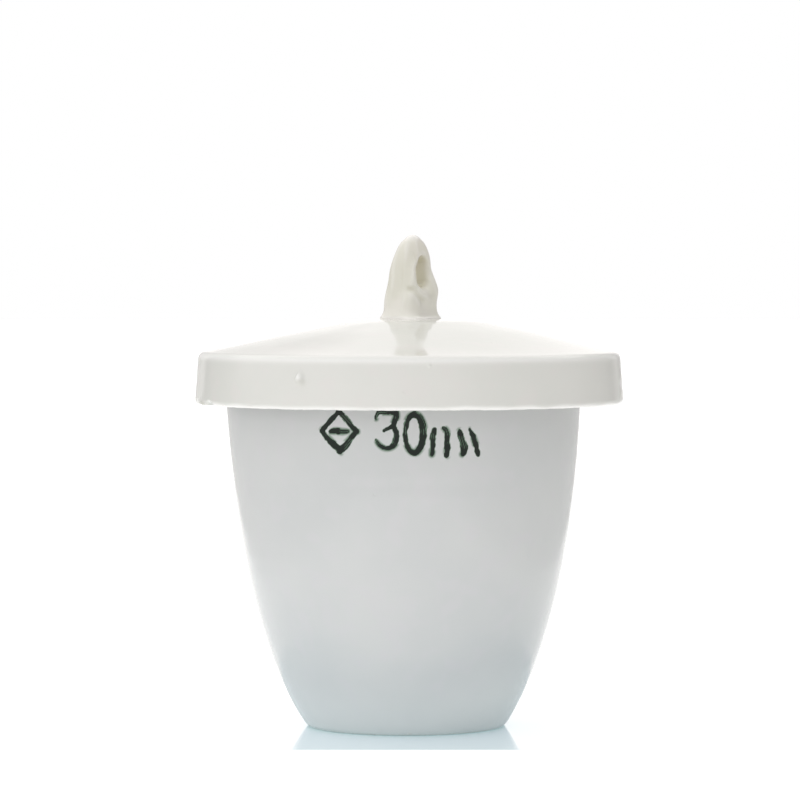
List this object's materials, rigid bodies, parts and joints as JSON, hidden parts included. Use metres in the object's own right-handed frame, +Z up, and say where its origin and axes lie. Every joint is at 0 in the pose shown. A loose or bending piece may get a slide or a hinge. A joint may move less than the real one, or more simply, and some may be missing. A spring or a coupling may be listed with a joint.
{
  "type": "porcelain crucible with lid",
  "caption": "Glazed porcelain laboratory crucible: a tall tapering cup on a flat foot, with a loose domed lid that has a turned-down skirt and a pinched loop handle.",
  "frame": {"origin": "centre of the cup's foot, on the surface that it stands on", "axes": "+Z up along the cup's axis; -Y towards the front, where the capacity mark is; +X to the right seen from the front"},
  "size_m": [0.0486, 0.0486, 0.0558],
  "materials": {
    "cup_glaze": "gloss",
    "lid_glaze": "gloss",
    "handle_glaze": "gloss"
  },
  "bodies": {
    "crucible": {"crucible_cup": "cup_glaze"},
    "lid": {"lid_cap": "lid_glaze", "lid_handle_loop": "handle_glaze"}
  },
  "joints": [
    {"name": "lid_lift", "type": "slide", "parent": "crucible", "child": "lid", "axis": [0, 0, 1], "range_m": [0, 0.05]}
  ]
}
